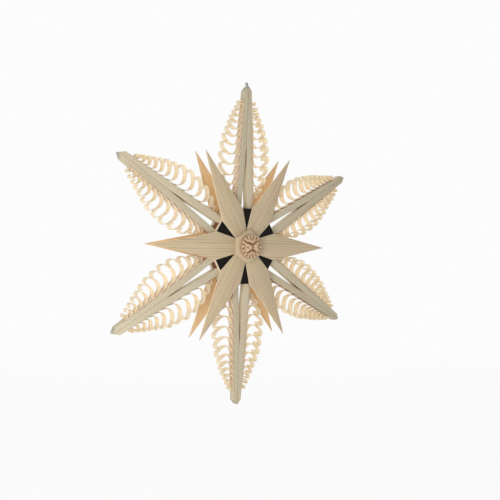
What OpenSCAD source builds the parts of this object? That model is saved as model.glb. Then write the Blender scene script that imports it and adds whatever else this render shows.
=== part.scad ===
// Wood shaving star: a hanging ornament with six rays of shaved curls round a hub of petals.
// The star hangs in the X-Z plane and faces -Y, with its first ray straight up along Z.
// The origin is the middle of the hanging eye, half way through the sticks' depth.
// All sizes are in millimetres.

/* [Rays] */
// Radius of the star, from its middle to the point of a ray
ray_tip_r = 100; // [90:1:125]
// Width of one stick, two of which make a ray
stick_w = 4.7; // [4:0.1:5.6]
// Depth of one stick, from front to back
stick_depth = 4.5; // [3.5:0.1:7]
// Half width of a ray where its pointed end starts
ray_end_half_w = 2.55; // [2.2:0.05:3.2]
// Slope of the pointed end
ray_point_angle = 49; // [35:1:60]
// Angle between each stick's edge and the middle line of its ray
stick_splay = 3.55; // [2.5:0.05:4.5]

/* [Shavings] */
// Shavings raised along the outer edge of one stick
curl_count = 13; // [8:1:13]
// Distance from the ray's point back to its first shaving
curl_first = 6.8; // [6:0.1:12]
// Distance from the hub plates out to the last shaving
curl_last = 10; // [8:0.5:14]
// Reach of the longest shaving from the stick's edge
curl_reach = 13.6; // [10:0.1:14]
// Reach of the shortest shavings, at both ends of the row
curl_reach_end = 3; // [2.8:0.1:4.2]
// Thickness of a shaving
curl_t = 0.34; // [0.2:0.02:0.42]
// Depth of the cut that frees each shaving
curl_cut = 0.6; // [0.4:0.05:1]
// Angle at which a shaving leaves its stick
curl_rise = 15; // [12:1:20]
// Length of the straight start of the longest shaving
curl_lead = 4.3; // [3.5:0.1:5]
// Radius of the roll at the end of the longest shaving
curl_roll_r = 1.55; // [1.2:0.05:1.8]
// Heading of a shaving after its bend, 0 along the stick towards the hub and 90 straight out
bend_heading = 95; // [85:1:105]
// Heading of a shaving after its sweep, where its crest starts
sweep_heading = 138; // [115:1:155]
// Heading of a shaving after its crest, where its roll starts
crest_heading = 186; // [180:1:200]
// Heading of a shaving at its very end, inside the roll
roll_heading = 400; // [270:1:410]
// Unevenness of the shavings, as a share of each one's reach
curl_unevenness = 0.03; // [0:0.01:0.04]
// Unevenness of the rolls, in degrees of turn either way
roll_sway = 15; // [0:1:20]

/* [Hub] */
// Distance from the middle to a flat of the hub plates
plate_apothem = 23.5; // [21:0.5:27]
// Thickness of one hub plate
plate_t = 2.4; // [1.5:0.1:4]
// Distance from the middle to a flat of the core, where the sticks end
core_apothem = 17; // [15:0.5:19]
// Distance from a flat of the hub plates back to the end of the spacer between a ray's two sticks
spacer_inset = 0.4; // [0.2:0.1:2]
// Clearance between a spacer and the stick on each side of it
spacer_fit = 0.1; // [0.05:0.05:0.3]
// Thickness of the black facing on each plate
facing_t = 0.3; // [0.2:0.05:0.6]
// Distance from the middle to a corner of the caps
cap_corner_r = 10.6; // [9:0.1:13]
// Thickness of one cap
cap_t = 3; // [0.8:0.1:4]

/* [Petals] */
// Distance from the middle of the star to a petal's point
petal_tip_r = 65.5; // [50:0.5:80]
// Width of a petal at the edge of the facing
petal_w = 17.1; // [14:0.1:22]
// Thickness of a petal
petal_t = 0.8; // [0.5:0.1:1.5]
// Distance from the middle to where neighbouring petals part, under the caps
petal_part_r = 9.5; // [8:0.1:11]
// Gap between each petal's edge and the line where it meets its neighbour
petal_gap = 0.1; // [0.05:0.05:0.5]
// Distance from the middle to a petal's inner end
petal_inner_r = 3; // [2:0.5:5]

/* [Rosette] */
// Diameter of the rosette's disc
rosette_d = 15; // [14.5:0.5:17]
// Thickness of the disc
rosette_disc_t = 1.8; // [1.5:0.1:2.2]
// Radius of one leaf of the blossom
leaf_r = 2.4; // [2.2:0.1:2.5]
// Distance from the rosette's middle to the middle of a leaf
leaf_ring_r = 2.9; // [2.6:0.1:3]
// Height of the middle of a leaf above the rosette's back
leaf_height = 2.5; // [2.5:0.1:2.8]
// Radius of the bud between two leaves
bud_r = 1.2; // [1:0.1:1.25]
// Distance from the rosette's middle to a bud
bud_ring_r = 4.4; // [4:0.1:4.5]
// Beads round the rim
bead_count = 16; // [12:1:20]
// Radius of one bead
bead_r = 0.85; // [0.7:0.05:0.9]
// Width of the plain rim outside the beads
rim_w = 0.2; // [0.1:0.05:0.3]

/* [Hanging eye] */
// Outer diameter of the eye
eye_d = 2.2; // [1.8:0.1:3]
// Diameter of the eye's wire
eye_wire_d = 0.6; // [0.55:0.05:0.8]
// Diameter of the eye's shank
shank_d = 0.5; // [0.3:0.05:0.5]
// Length of shank inside the ray
shank_l = 6; // [4:0.5:9]
// Clearance all round the shank in its hole
shank_fit = 0.05; // [0.02:0.01:0.1]
// Clearance between the eye and the point of its ray
eye_lift = 0.1; // [0.05:0.05:0.3]

/* [Hidden] */
$fn = 48;

// Rays and petals
ray_count = 6;
ray_step = 360 / ray_count;
eye_ray = 1;

// Share of the longest shaving's lead and of its roll that the smallest one keeps
lead_floor = 0.45;
roll_floor = 0.5;
// Radii of the bend, the sweep and the crest, in proportion to each other
bend_share = 0.31;
sweep_share = 0.6;
crest_share = 0.21;
// Chords in the bend, the sweep, the crest and the roll
bend_steps = 3;
sweep_steps = 2;
crest_steps = 2;
roll_steps = 7;
// The gaps between roots widen by this share towards the skewed middle of the row, so longer shavings clear
gap_per_reach = 3 / 34;
gap_spread = gap_per_reach * curl_reach;
gap_skew = 2.6;
// The reach swells and falls along the row with this skew
reach_skew = 1.25;
// Step between the seeds of one stick's two kinds of unevenness
seed_step = 100;

// Places along a ray, measured from the middle of the star
shoulder_u = ray_tip_r - ray_end_half_w / tan(90 - ray_point_angle);
first_root_u = ray_tip_r - curl_first;
last_root_u = plate_apothem + curl_last;
spacer_u = plate_apothem - spacer_inset;
crotch_u = shoulder_u - (stick_w / cos(stick_splay) - ray_end_half_w) / tan(stick_splay);

// Layers of the hub, each at the distance of its inner face from the middle of the depth
plate_y = stick_depth / 2;
facing_y = plate_y + plate_t;
petal_y = facing_y + facing_t;
cap_y = petal_y + petal_t;
rosette_y = cap_y + cap_t;
FRONT = 1;
REAR = -1;

// Heights of the top ray's point and of the star's middle, below the eye
tip_z = -eye_d / 2 - eye_lift;
hub_z = tip_z - ray_tip_r;

// Petal outline
half_step = ray_step / 2;
petal_half_w = petal_w / 2;
petal_wide_u = (plate_apothem - petal_half_w * sin(half_step)) / cos(half_step);

// Radius of the eye's ring, to the middle of its wire
eye_ring_r = (eye_d - eye_wire_d) / 2;

// Colours
pale_wood = [0.80, 0.71, 0.55];
petal_wood = [0.76, 0.67, 0.51];
plate_wood = [0.87, 0.80, 0.66];
brown_wood = [0.43, 0.28, 0.15];
blossom_wood = [0.78, 0.60, 0.44];
black_face = [0.09, 0.08, 0.08];
dark_wire = [0.32, 0.31, 0.30];

SIDES = ["left", "right"];

// Angle of a ray in the star's plane, the first straight up and the rest counter-clockwise from the front
function ray_angle(ray) = 90 + ray_step * (ray - 1);

// Angle of a petal, the first half a step on from the first ray
function petal_angle(petal) = ray_angle(petal) + half_step;

// Distance of a stick's outer edge from the middle line of its ray
function edge_v(u) = ray_end_half_w + (shoulder_u - u) * tan(stick_splay);

// Distance of a stick's inner edge from the middle line, nothing where the two sticks meet
function inner_v(u) = max(0, edge_v(u) - stick_w / cos(stick_splay));

function last(list) = list[len(list) - 1];

// A point in the star's plane, turned about the middle
function turned(p, angle) = [
    p[0] * cos(angle) - p[1] * sin(angle),
    p[0] * sin(angle) + p[1] * cos(angle)
];

// Roots of the shavings: weights of the gaps between them, and places from 0 at the tip end to 1
function gap_weight(k) = 1 + gap_spread * sin(180 * pow((k + 0.5) / (curl_count - 1), gap_skew));
function gap_sum(k) = k == 0 ? 0 : gap_sum(k - 1) + gap_weight(k - 1);
function root_place(k) = gap_sum(k) / gap_sum(curl_count - 1);
function root_u(k) = first_root_u + (last_root_u - first_root_u) * root_place(k);

// Reach of the shaving at a place along the row
function reach_at(place) = curl_reach_end + (curl_reach - curl_reach_end) * sin(180 * pow(place, reach_skew));

// Frames [x, y, heading] on an arc: x runs along the stick towards the hub and y away from it
function arc_frames(from, radius, heading, steps) = [
    for (i = [1:steps])
        let (turn = from[2] + (heading - from[2]) * i / steps)
        [
            from[0] + radius * (sin(turn) - sin(from[2])),
            from[1] + radius * (cos(from[2]) - cos(turn)),
            turn
        ]
];

// Frames along a shaving's outer face: a straight lead, a bend, a long sweep back, a crest and a roll
function curl_frames(reach, end_heading) =
    let (
        size = reach / curl_reach,
        lead = curl_lead * (lead_floor + (1 - lead_floor) * size),
        roll_r = curl_roll_r * (roll_floor + (1 - roll_floor) * size),
        start = [0, -curl_cut, curl_rise],
        lift = [lead * cos(curl_rise), lead * sin(curl_rise) - curl_cut, curl_rise],
        bend_rise = bend_share * (cos(curl_rise) - cos(bend_heading)),
        sweep_rise = sweep_share * (cos(bend_heading) - cos(sweep_heading)),
        crest_rise = crest_share * (cos(sweep_heading) + 1),
        unit = (reach - lift[1]) / (bend_rise + sweep_rise + crest_rise),
        bend = arc_frames(lift, bend_share * unit, bend_heading, bend_steps),
        sweep = arc_frames(last(bend), sweep_share * unit, sweep_heading, sweep_steps),
        crest = arc_frames(last(sweep), crest_share * unit, crest_heading, crest_steps),
        roll = arc_frames(last(crest), roll_r, end_heading, roll_steps)
    )
    concat([start, lift], bend, sweep, crest, roll);

// Outline of one shaving, out along its outer face and back along its inner one to the stick's edge
function curl_outline(reach, end_heading) =
    let (
        frames = curl_frames(reach, end_heading),
        outer = [for (f = frames) [f[0], f[1]]],
        inner = [for (i = [len(frames) - 1:-1:1])
            let (f = frames[i])
            [f[0] - curl_t * sin(f[2]), f[1] + curl_t * cos(f[2])]],
        buried = (curl_cut - curl_t * cos(curl_rise)) / sin(curl_rise),
        foot = [buried * cos(curl_rise) - curl_t * sin(curl_rise), 0]
    )
    concat(outer, inner, [foot]);

// A point of a shaving, moved from its own frame to its root on the stick's edge
function on_edge(u, p) = [
    u - p[0] * cos(stick_splay) + p[1] * sin(stick_splay),
    edge_v(u) + p[0] * sin(stick_splay) + p[1] * cos(stick_splay)
];

// The whole row of shavings on one stick, from the hub end to the tip end
function curl_row(seed) =
    let (
        reach_noise = rands(-1, 1, curl_count, seed),
        roll_noise = rands(-1, 1, curl_count, seed + seed_step)
    )
    [
        for (k = [curl_count - 1:-1:0])
            let (
                reach = reach_at(root_place(k)) * (1 + curl_unevenness * reach_noise[k]),
                end_heading = roll_heading + roll_sway * roll_noise[k]
            )
            for (p = curl_outline(reach, end_heading)) on_edge(root_u(k), p)
    ];

// Outline of one stick with its shavings: looking out along the ray, side is 1 to the left and -1 to right
function stick_outline(side, seed) =
    let (
        hub_end = [[core_apothem, inner_v(core_apothem)], [core_apothem, edge_v(core_apothem)]],
        tip_end = [[shoulder_u, ray_end_half_w], [ray_tip_r, 0], [crotch_u, 0]]
    )
    [for (p = concat(hub_end, curl_row(seed), tip_end)) [p[0], side * p[1]]];

// Half of a petal's outline, from its inner end to its point
function petal_edge() = [
    [petal_inner_r, petal_inner_r * tan(half_step) - petal_gap],
    [petal_part_r * cos(half_step), petal_part_r * sin(half_step) - petal_gap],
    [petal_wide_u, petal_half_w],
    [petal_tip_r, 0]
];

// Half width of a spacer on the core, a given distance out from the middle
function spacer_half_w(u) = inner_v(u) - spacer_fit;

// Outline of the core: a hexagon with a tapered spacer on each flat
function core_outline() = [
    for (i = [1:ray_count])
        for (p = [
            [core_apothem, -spacer_half_w(core_apothem)],
            [spacer_u, -spacer_half_w(spacer_u)],
            [spacer_u, spacer_half_w(spacer_u)],
            [core_apothem, spacer_half_w(core_apothem)],
            [core_apothem, core_apothem * tan(half_step)]
        ])
            turned(p, ray_angle(i))
];

// A flat piece of the star, its inner face a given distance from the middle of the depth
module layer(inner, thick, side) {
    back = side == FRONT ? -inner : inner + thick;
    translate([0, back, hub_z]) rotate([90, 0, 0]) linear_extrude(thick) children();
}

// Hexagon with its flats towards the rays
module ray_hexagon(apothem) {
    circle(r = apothem / cos(half_step), $fn = ray_count);
}

module petal_shape(petal) {
    upper = petal_edge();
    lower = [for (i = [len(upper) - 2:-1:0]) [upper[i][0], -upper[i][1]]];
    rotate(petal_angle(petal)) polygon(concat(upper, lower));
}

module cap_shape() {
    rotate(half_step) circle(r = cap_corner_r, $fn = ray_count);
}

// Brown core between the plates, which the sticks butt against, with a spacer between each ray's two
module hub_core() {
    color(brown_wood) layer(-plate_y, stick_depth, FRONT) polygon(core_outline());
}

module front_plate() {
    color(plate_wood) layer(plate_y, plate_t, FRONT) ray_hexagon(plate_apothem);
}

module rear_plate() {
    color(plate_wood) layer(plate_y, plate_t, REAR) ray_hexagon(plate_apothem);
}

module front_facing() {
    color(black_face) layer(facing_y, facing_t, FRONT) ray_hexagon(plate_apothem);
}

module rear_facing() {
    color(black_face) layer(facing_y, facing_t, REAR) ray_hexagon(plate_apothem);
}

module front_petal(petal) {
    color(petal_wood) layer(petal_y, petal_t, FRONT) petal_shape(petal);
}

module rear_petal(petal) {
    color(petal_wood) layer(petal_y, petal_t, REAR) petal_shape(petal);
}

module front_cap() {
    color(petal_wood) layer(cap_y, cap_t, FRONT) cap_shape();
}

module rear_cap() {
    color(petal_wood) layer(cap_y, cap_t, REAR) cap_shape();
}

// Balls in a ring, at a height above the rosette's back
module ball_ring(count, ring_r, height, ball_r) {
    step = 360 / count;
    for (i = [0:count - 1])
        rotate(step * i) translate([ring_r, 0, height]) sphere(ball_r);
}

// Blossom of four leaves with buds between them, on a disc with a beaded rim
module rosette() {
    leaf_count = 4;
    color(blossom_wood) translate([0, -rosette_y, hub_z]) rotate([90, 0, 0]) union() {
        cylinder(d = rosette_d, h = rosette_disc_t);
        ball_ring(leaf_count, leaf_ring_r, leaf_height, leaf_r);
        rotate(180 / leaf_count) ball_ring(leaf_count, bud_ring_r, rosette_disc_t, bud_r);
        rotate(180 / bead_count)
        ball_ring(bead_count, rosette_d / 2 - rim_w - bead_r, rosette_disc_t, bead_r);
    }
}

// Shank of the eye up to its wire, or the hole that it sits in
module shank(d) {
    translate([0, 0, tip_z - shank_l]) cylinder(d = d, h = shank_l - tip_z - eye_ring_r);
}

// Wire eye in the ridge of the top ray
module hanging_eye() {
    color(dark_wire) union() {
        shank(shank_d);
        rotate([90, 0, 0]) rotate_extrude() translate([eye_ring_r, 0]) circle(d = eye_wire_d);
    }
}

// One of the two shaved sticks of a ray
module ray_stick(ray, side) {
    seed = ray_count * side + ray;
    color(pale_wood) difference() {
        layer(-plate_y, stick_depth, FRONT) rotate(ray_angle(ray)) polygon(stick_outline(side, seed));
        if (ray == eye_ray) shank(shank_d + 2 * shank_fit);
    }
}

hub_core();
front_plate();
rear_plate();
front_facing();
rear_facing();
front_cap();
rear_cap();
rosette();
hanging_eye();
for (i = [1:ray_count]) {
    front_petal(i);
    rear_petal(i);
    ray_stick(i, 1);
    ray_stick(i, -1);
}
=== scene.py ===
"""A hanging star of shaved wood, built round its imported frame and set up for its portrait.

Six rays of paired sticks carry rows of curled shavings. They are clamped in a hexagonal hub
that is faced with pointed veneer petals and closed by caps, with a carved rosette in front.
Lengths are metres; sizes are written as millimetres times MM.
"""

import logging
import math
import random
from dataclasses import dataclass, field
from enum import Enum, IntEnum
from typing import Callable, Iterable, Optional, Sequence, Union

import bmesh
import bpy
from mathutils import Matrix, Vector

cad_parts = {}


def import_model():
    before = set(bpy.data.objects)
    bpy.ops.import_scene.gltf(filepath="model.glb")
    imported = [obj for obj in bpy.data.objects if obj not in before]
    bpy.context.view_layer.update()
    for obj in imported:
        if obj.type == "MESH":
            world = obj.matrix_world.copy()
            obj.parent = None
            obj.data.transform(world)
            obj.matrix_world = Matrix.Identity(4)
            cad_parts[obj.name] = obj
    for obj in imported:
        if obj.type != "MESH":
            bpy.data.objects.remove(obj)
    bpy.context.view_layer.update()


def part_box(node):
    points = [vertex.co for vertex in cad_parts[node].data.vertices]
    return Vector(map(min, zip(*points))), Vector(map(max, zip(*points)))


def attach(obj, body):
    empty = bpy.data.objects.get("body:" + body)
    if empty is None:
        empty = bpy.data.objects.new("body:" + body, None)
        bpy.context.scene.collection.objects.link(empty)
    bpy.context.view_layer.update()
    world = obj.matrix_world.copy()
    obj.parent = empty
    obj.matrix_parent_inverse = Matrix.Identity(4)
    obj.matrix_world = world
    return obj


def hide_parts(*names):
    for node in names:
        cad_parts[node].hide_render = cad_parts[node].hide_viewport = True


RGB = tuple[float, float, float]
Point = tuple[float, float]
Socket = bpy.types.NodeSocket
BMesh = bmesh.types.BMesh
BMVert = bmesh.types.BMVert
BMEdge = bmesh.types.BMEdge
BMFace = bmesh.types.BMFace

MM = 0.001
BODY = "root"
GRAIN_MAP = "Grain"
# Vertex attribute that says where painted shade and a painted warm glow are mixed into a wood's colour
PAINTED_LIGHT_MARK = "stain"
LOG = logging.getLogger("shaving_star")
RAY_COUNT = 6
RAY_STEP = math.tau / RAY_COUNT
QUARTER = math.tau / 4
# How much smaller than their nodes the hub's layers and the wire are, on each side
SKIN = 0.004 * MM
# Distance within which doubled vertices merge
MERGE = 0.001 * MM
# Segments across an eased edge
EASE_STEPS = 2
# Angle over which an edge stays sharp
CREASE = math.radians(32)
# Range of the shifts that give each piece its own figure, in millimetres of grain
FIGURE_SPAN = 400.0
# Radians that a wave texture of scale 1 turns through in one unit
WAVE_RATE = 20.0


class Side(Enum):
    """The two sticks of a ray, looking out along it from the hub."""

    LEFT = 1
    RIGHT = -1


class Face(Enum):
    """The two faces of the star, by the way that they point along Y."""

    FRONT = -1
    REAR = 1


class Winding(Enum):
    """How far a row's shavings are rolled in, as the heading of the longest one's end.

    The second angle is how much less the short ones turn.
    """

    TIGHT = (math.radians(406), math.radians(90))
    LOOSE = (math.radians(318), math.radians(-24))


class StickPart(IntEnum):
    """Parts of a stick that have their own finish, by material index."""

    BARE = 0
    SHAVING = 1
    END = 2
    CUT = 3
    SEAM = 4


class PetalPart(IntEnum):
    """Parts of a petal that have their own finish, by material index."""

    OUTSIDE = 0
    EDGE = 1
    INSIDE = 2


def linear(red: int, green: int, blue: int) -> RGB:
    """Turns screen levels of 0 to 255 into the linear colour that a shader takes, by the sRGB curve."""
    levels = (value / 255 for value in (red, green, blue))
    return tuple(v / 12.92 if v <= 0.04045 else ((v + 0.055) / 1.055) ** 2.4 for v in levels)


def grey(level: float) -> RGB:
    """Gives a linear colour without a hue."""
    return (level, level, level)


def clamp(value: float) -> float:
    """Holds a value between 0 and 1."""
    return min(1.0, max(0.0, value))


def hill(distance: float, width: float) -> float:
    """A smooth bump: 1 at no distance, and close to 0 from twice the width on."""
    return math.exp(-((distance / width) ** 2))


def off_middle(angle: float, step: float) -> float:
    """Angle from the nearest of the directions that lie a step apart."""
    return (angle + step / 2) % step - step / 2


def grain_shift(rng: random.Random) -> Point:
    """Draws a piece's shift along and across the grain."""
    return rng.uniform(0, FIGURE_SPAN), rng.uniform(0, FIGURE_SPAN)


@dataclass(frozen=True)
class Streaks:
    """Noise drawn out along the grain, in features per millimetre along it and across it.

    The levels low and high are stretched to 0 and 1.
    """

    along: float
    across: float
    detail: float
    low: float
    high: float


class ShaderSheet:
    """The nodes of a new material or world, added and joined by name."""

    def __init__(self, holder: Union[bpy.types.Material, bpy.types.World]) -> None:
        """Starts an empty node tree.

        Args:
            holder: The new material or world that owns it.
        """
        self.holder = holder
        holder.use_nodes = True
        self.tree = holder.node_tree
        self.tree.nodes.clear()

    def fill(self, socket: Socket, value: object) -> None:
        """Links an output to an input, or sets the input itself.

        Args:
            socket: The input.
            value: An output socket, or the input's own number, vector or colour.
        """
        if isinstance(value, Socket):
            self.tree.links.new(value, socket)
        elif socket.type == "RGBA":
            socket.default_value = (*value, 1.0)
        else:
            socket.default_value = value

    def add(self, kind: str, settings: Optional[dict] = None, **sockets: object) -> bpy.types.Node:
        """Adds a node, sets its properties and fills or links its inputs.

        Args:
            kind: The node's type, without the ShaderNode prefix.
            settings: Properties of the node itself.
            **sockets: Inputs by name, with underscores for spaces; an output socket is linked.

        Returns:
            The new node.
        """
        node = self.tree.nodes.new("ShaderNode" + kind)
        for key, value in (settings or {}).items():
            setattr(node, key, value)
        for key, value in sockets.items():
            name = key.replace("_", " ")
            self.fill(next(s for s in node.inputs if s.name == name and s.enabled), value)
        return node

    def join(self, node: bpy.types.Node, *values: object) -> Socket:
        """Fills a node's first inputs in their order.

        Args:
            node: The node.
            *values: A number or an output socket for each input.

        Returns:
            The node's first output.
        """
        for socket, value in zip(node.inputs, values):
            self.fill(socket, value)
        return node.outputs[0]

    def maths(self, operation: str, first: object, second: object) -> Socket:
        """Works out one sum, such as MULTIPLY, on two numbers or sockets."""
        return self.join(self.add("Math", {"operation": operation}), first, second)

    def mix(self, share: object, first: Socket, second: Socket) -> Socket:
        """Mixes two shaders by the share of the second, a number or a socket."""
        return self.join(self.add("MixShader"), share, first, second)

    def blend(self, share: object, first: object, second: object) -> Socket:
        """Mixes two colours.

        Args:
            share: Share of the second colour, a number or an output socket.
            first: First colour, or the socket that gives it.
            second: Second colour, or the socket that gives it.

        Returns:
            The socket of the mixed colour.
        """
        settings = {"data_type": "RGBA", "clamp_factor": True}
        node = self.add("Mix", settings, Factor=share, A=first, B=second)
        return next(s for s in node.outputs if s.enabled)

    def ramp(self, value: Socket, low: float, high: float) -> Socket:
        """Stretches a value so that low becomes 0 and high becomes 1."""
        return self.add("MapRange", {"clamp": True}, Value=value, From_Min=low, From_Max=high).outputs[0]

    def spread(self, value: Socket, low: float, high: float) -> Socket:
        """Stretches a value so that 0 becomes low and 1 becomes high."""
        return self.add("MapRange", Value=value, To_Min=low, To_Max=high).outputs[0]

    def grain(self, along: float, across: float) -> Socket:
        """The piece's grain map, scaled to features per millimetre along and across the grain."""
        where = self.add("UVMap", {"uv_map": GRAIN_MAP}).outputs[0]
        return self.add("Mapping", Vector=where, Scale=(along, across, 1.0)).outputs[0]

    def streaks(self, kind: Streaks) -> Socket:
        """Draws noise out along the grain.

        Args:
            kind: Sizes and levels of the noise.

        Returns:
            The socket of the noise, stretched to run from 0 to 1.
        """
        place = self.grain(kind.along, kind.across)
        noise = self.add("TexNoise", {"noise_dimensions": "2D"}, Vector=place, Scale=1.0, Detail=kind.detail)
        return self.ramp(noise.outputs[0], kind.low, kind.high)

    def speckle(self, scale: float, detail: float) -> Socket:
        """Even noise on Object coordinates."""
        where = self.add("TexCoord").outputs["Object"]
        return self.add("TexNoise", Vector=where, Scale=scale, Detail=detail).outputs[0]

    def seen(self) -> Socket:
        """Tests for rays that end in a picture: from the camera, off gloss or through glass.

        Returns:
            The socket of the test, 1 on such a ray.
        """
        path = self.add("LightPath").outputs
        first = self.maths("MAXIMUM", path["Is Camera Ray"], path["Is Glossy Ray"])
        return self.maths("MAXIMUM", first, path["Is Transmission Ray"])

    def finish(self, shader: Socket) -> Union[bpy.types.Material, bpy.types.World]:
        """Joins a shader to the output.

        Args:
            shader: Socket of the shader.

        Returns:
            The finished material or world.
        """
        kind = "OutputWorld" if isinstance(self.holder, bpy.types.World) else "OutputMaterial"
        self.add(kind, Surface=shader)
        return self.holder


@dataclass(frozen=True)
class WoodFinish:
    """Bare wood with growth lines, fibres and a slow drift of tint.

    The grain follows the piece's own grain map: millimetres along the wood, then across it.
    """

    name: str
    pale: RGB
    dark: RGB
    tint: RGB
    line_pitch: float = 1.7
    line_share: float = 0.55
    fibre_share: float = 0.4
    tint_share: float = 0.55
    glow: float = 0.0
    glow_colour: RGB = (1.0, 1.0, 1.0)
    # Colour that the mark attribute mixes in: painted shade in cuts, seams and the rosette's hollows, and a
    # painted warm glow on the shavings
    stain: Optional[RGB] = None
    roughness: float = 0.62
    smoother: float = 0.08
    rougher: float = 0.1
    specular: float = 0.3
    bump: float = 0.2
    bump_depth: float = 0.05 * MM
    line_stretch: float = 0.02
    line_waver: float = 3.5
    line_detail: float = 2.0
    line_detail_scale: float = 0.5
    line_start: float = 0.7
    line_strength: Streaks = Streaks(along=0.02, across=0.45, detail=1.0, low=0.3, high=0.65)
    fibres: Streaks = Streaks(along=0.05, across=4.0, detail=3.0, low=0.3, high=0.7)
    drift: Streaks = Streaks(along=0.03, across=0.14, detail=2.0, low=0.38, high=0.66)

    def growth_lines(self, sheet: ShaderSheet) -> Socket:
        """Draws thin lines along the grain, at wavering distances.

        Args:
            sheet: Sheet that takes the nodes.

        Returns:
            The socket of the lines, 1 in a line and 0 between.
        """
        settings = {"wave_type": "BANDS", "bands_direction": "Y", "wave_profile": "SIN"}
        waves = sheet.add(
            "TexWave", settings, Vector=sheet.grain(self.line_stretch, 1.0),
            Scale=math.tau / WAVE_RATE / self.line_pitch, Distortion=self.line_waver,
            Detail=self.line_detail, Detail_Scale=self.line_detail_scale,
        ).outputs["Fac"]
        strength = sheet.streaks(self.line_strength)
        return sheet.maths("MULTIPLY", sheet.ramp(waves, self.line_start, 1.0), strength)

    def material(self) -> bpy.types.Material:
        """Builds the finish as a node material.

        Returns:
            The new material.
        """
        sheet = ShaderSheet(bpy.data.materials.new(self.name))
        lines = self.growth_lines(sheet)
        fibres = sheet.streaks(self.fibres)
        growth = sheet.maths("MULTIPLY", lines, self.line_share)
        threads = sheet.maths("MULTIPLY", fibres, self.fibre_share)
        darkness = sheet.maths("ADD", growth, threads)
        drift = sheet.maths("MULTIPLY", sheet.streaks(self.drift), self.tint_share)
        colour = sheet.blend(darkness, sheet.blend(drift, self.pale, self.tint), self.dark)
        # Mixes in the painted shade and painted glow that the mark attribute asks for
        if self.stain is not None:
            mark = sheet.add("Attribute", {"attribute_name": PAINTED_LIGHT_MARK}).outputs["Fac"]
            colour = sheet.blend(mark, colour, self.stain)
        dents = sheet.add(
            "Bump", {"invert": True}, Strength=self.bump, Distance=self.bump_depth,
            Height=sheet.maths("ADD", lines, fibres),
        ).outputs[0]
        rough = sheet.spread(fibres, self.roughness - self.smoother, self.roughness + self.rougher)
        shader = sheet.add(
            "BsdfPrincipled", Base_Color=colour, Roughness=rough, Normal=dents,
            Specular_IOR_Level=self.specular,
        ).outputs[0]
        if self.glow > 0:
            through = sheet.blend(darkness, self.glow_colour, self.dark)
            lit = sheet.add("BsdfTranslucent", Color=through).outputs[0]
            shader = sheet.mix(self.glow, shader, lit)
        return sheet.finish(shader)


@dataclass(frozen=True)
class StainFinish:
    """Matt black stain over card, with a faint mottle."""

    name: str
    deep: RGB
    worn: RGB
    roughness: float = 0.7
    specular: float = 0.15
    mottle_scale: float = 420.0
    mottle_detail: float = 4.0
    mottle_low: float = 0.35
    mottle_high: float = 0.75
    bump: float = 0.2
    bump_depth: float = 0.04 * MM

    def material(self) -> bpy.types.Material:
        """Builds the finish as a node material.

        Returns:
            The new material.
        """
        sheet = ShaderSheet(bpy.data.materials.new(self.name))
        mottle = sheet.speckle(self.mottle_scale, self.mottle_detail)
        wear = sheet.ramp(mottle, self.mottle_low, self.mottle_high)
        dents = sheet.add("Bump", Strength=self.bump, Distance=self.bump_depth, Height=mottle).outputs[0]
        shader = sheet.add(
            "BsdfPrincipled", Base_Color=sheet.blend(wear, self.deep, self.worn),
            Roughness=self.roughness, Normal=dents, Specular_IOR_Level=self.specular,
        )
        return sheet.finish(shader.outputs[0])


@dataclass(frozen=True)
class WireFinish:
    """Dull dark steel wire."""

    name: str
    bright: RGB
    dull: RGB
    metallic: float = 0.85
    smoothest: float = 0.35
    roughest: float = 0.6
    grime_scale: float = 1800.0
    grime_detail: float = 3.0
    grime_low: float = 0.35
    grime_high: float = 0.65

    def material(self) -> bpy.types.Material:
        """Builds the finish as a node material.

        Returns:
            The new material.
        """
        sheet = ShaderSheet(bpy.data.materials.new(self.name))
        grime = sheet.speckle(self.grime_scale, self.grime_detail)
        dirt = sheet.ramp(grime, self.grime_low, self.grime_high)
        shader = sheet.add(
            "BsdfPrincipled", Base_Color=sheet.blend(dirt, self.bright, self.dull),
            Roughness=sheet.spread(grime, self.smoothest, self.roughest), Metallic=self.metallic,
        )
        return sheet.finish(shader.outputs[0])


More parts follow.
